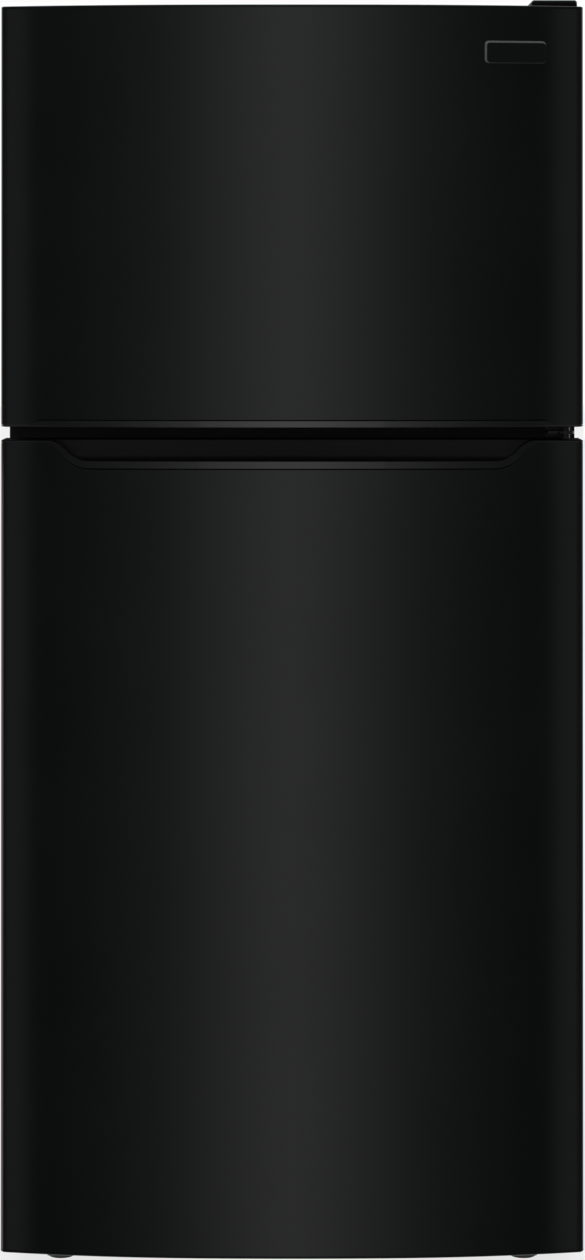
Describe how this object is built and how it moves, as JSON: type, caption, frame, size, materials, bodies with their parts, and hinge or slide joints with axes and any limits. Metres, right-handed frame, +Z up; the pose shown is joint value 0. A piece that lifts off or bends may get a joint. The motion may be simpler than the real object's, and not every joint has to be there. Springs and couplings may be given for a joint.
{
  "type": "top freezer refrigerator",
  "caption": "Free-standing top freezer refrigerator with bowed black doors, a pocket handle between the doors, right-hand hinges, glass shelves and crisper drawers.",
  "frame": {"origin": "middle of the footprint on the floor", "axes": "+Z up, -Y towards the person opening the doors, +X towards the hinges"},
  "size_m": [0.762, 0.7714, 1.68],
  "materials": {
    "black_steel": "satin",
    "black_plastic": "satin",
    "white_liner": "satin",
    "clear_plastic": "gloss",
    "white_trim": "gloss",
    "shelf_glass": "gloss",
    "lamp_glass": "gloss",
    "gasket_rubber": "matte",
    "foam": "matte",
    "zinc_steel": "satin",
    "machine_black": "satin",
    "aluminium": "satin",
    "white_wire": "gloss",
    "grey_plastic": "matte"
  },
  "bodies": {
    "cabinet": {"outer_case": "black_steel", "mullion_rail": "black_steel", "top_hinge_cover": "black_plastic", "toe_grille": "black_plastic", "freezer_liner": "white_liner", "fresh_food_liner": "white_liner", "evaporator_cover": "white_liner", "control_housing": "white_liner", "light_switch": "white_liner", "shelf_frames": "white_liner", "light_lens": "clear_plastic", "shelf_glass": "shelf_glass", "light_bulb": "lamp_glass", "compressor_grommets": "gasket_rubber", "cabinet_insulation": "foam", "back_panel": "zinc_steel", "machine_cover": "zinc_steel", "base_frame": "zinc_steel", "top_hinge": "zinc_steel", "center_hinge": "zinc_steel", "bottom_hinge": "zinc_steel", "compressor": "machine_black", "condenser_coil": "machine_black", "condenser_fan_motor": "machine_black", "evaporator_fan_motor": "machine_black", "evaporator_coil": "aluminium", "defrost_heater": "aluminium", "freezer_shelf": "white_wire", "drain_pan": "grey_plastic", "power_inlet": "grey_plastic"},
    "freezer_door": {"freezer_door_skin": "black_steel", "freezer_door_top_cap": "black_plastic", "freezer_door_bottom_cap": "black_plastic", "freezer_door_liner": "white_liner", "freezer_door_gasket": "gasket_rubber", "freezer_door_insulation": "foam", "freezer_door_racks": "clear_plastic"},
    "fresh_food_door": {"fresh_door_skin": "black_steel", "fresh_door_top_cap": "black_plastic", "fresh_door_bottom_cap": "black_plastic", "fresh_door_liner": "white_liner", "fresh_door_gasket": "gasket_rubber", "fresh_door_insulation": "foam", "fresh_door_bins": "clear_plastic", "dairy_bin": "clear_plastic"},
    "dairy_lid": {"dairy_lid": "clear_plastic"},
    "crisper_left": {"crisper_left": "clear_plastic"},
    "crisper_right": {"crisper_right": "clear_plastic"},
    "humidity_slider_left": {"humidity_slider_left": "white_trim"},
    "humidity_slider_right": {"humidity_slider_right": "white_trim"},
    "fridge_temp_knob": {"fridge_temp_knob": "white_trim"},
    "freezer_temp_knob": {"freezer_temp_knob": "white_trim"},
    "light_switch_plunger": {"light_switch_plunger": "white_trim"},
    "evaporator_fan": {"evaporator_fan": "grey_plastic"},
    "condenser_fan": {"condenser_fan": "grey_plastic"},
    "rear_roller_left": {"rear_roller_left": "grey_plastic"},
    "rear_roller_right": {"rear_roller_right": "grey_plastic"},
    "leveling_leg_left": {"leveling_leg_left": "grey_plastic"},
    "leveling_leg_right": {"leveling_leg_right": "grey_plastic"}
  },
  "joints": [
    {"name": "freezer_door_hinge", "type": "hinge", "parent": "cabinet", "child": "freezer_door", "pos_m": [0.361, -0.32625, 0], "axis": [0, 0, 1], "range_deg": [0, 125]},
    {"name": "fresh_food_door_hinge", "type": "hinge", "parent": "cabinet", "child": "fresh_food_door", "pos_m": [0.361, -0.32625, 0], "axis": [0, 0, 1], "range_deg": [0, 125]},
    {"name": "dairy_lid_hinge", "type": "hinge", "parent": "fresh_food_door", "child": "dairy_lid", "pos_m": [0, -0.29945, 0.899], "axis": [1, 0, 0], "range_deg": [0, 80]},
    {"name": "light_switch_press", "type": "slide", "parent": "cabinet", "child": "light_switch_plunger", "axis": [0, -1, 0], "range_m": [0, 0.006]},
    {"name": "evaporator_fan_spin", "type": "hinge", "parent": "cabinet", "child": "evaporator_fan", "pos_m": [0, 0.26975, 1.516], "axis": [0, 1, 0], "continuous": true},
    {"name": "condenser_fan_spin", "type": "hinge", "parent": "cabinet", "child": "condenser_fan", "pos_m": [-0.1, 0.28775, 0.1457], "axis": [1, 0, 0], "continuous": true},
    {"name": "crisper_left_slide", "type": "slide", "parent": "cabinet", "child": "crisper_left", "axis": [0, -1, 0], "range_m": [0, 0.1]},
    {"name": "humidity_left_slide", "type": "slide", "parent": "cabinet", "child": "humidity_slider_left", "axis": [1, 0, 0], "range_m": [-0.025, 0.025]},
    {"name": "rear_roller_left_spin", "type": "hinge", "parent": "cabinet", "child": "rear_roller_left", "pos_m": [-0.3, 0.32375, 0.02], "axis": [1, 0, 0], "continuous": true},
    {"name": "leveling_leg_left_turn", "type": "hinge", "parent": "cabinet", "child": "leveling_leg_left", "pos_m": [-0.31, -0.24425, 0], "axis": [0, 0, 1], "continuous": true},
    {"name": "crisper_right_slide", "type": "slide", "parent": "cabinet", "child": "crisper_right", "axis": [0, -1, 0], "range_m": [0, 0.1]},
    {"name": "humidity_right_slide", "type": "slide", "parent": "cabinet", "child": "humidity_slider_right", "axis": [1, 0, 0], "range_m": [-0.025, 0.025]},
    {"name": "rear_roller_right_spin", "type": "hinge", "parent": "cabinet", "child": "rear_roller_right", "pos_m": [0.3, 0.32375, 0.02], "axis": [1, 0, 0], "continuous": true},
    {"name": "leveling_leg_right_turn", "type": "hinge", "parent": "cabinet", "child": "leveling_leg_right", "pos_m": [0.31, -0.24425, 0], "axis": [0, 0, 1], "continuous": true},
    {"name": "fridge_temp_knob_turn", "type": "hinge", "parent": "cabinet", "child": "fridge_temp_knob", "pos_m": [-0.095, -0.20425, 1.051], "axis": [0, -1, 0], "range_deg": [-135, 135]},
    {"name": "freezer_temp_knob_turn", "type": "hinge", "parent": "cabinet", "child": "freezer_temp_knob", "pos_m": [0.095, -0.20425, 1.051], "axis": [0, -1, 0], "range_deg": [-135, 135]}
  ],
  "couplings": [
    {"joint": "light_switch_press", "follows": "fresh_food_door_hinge", "m_per_rad": 0.00275}
  ]
}
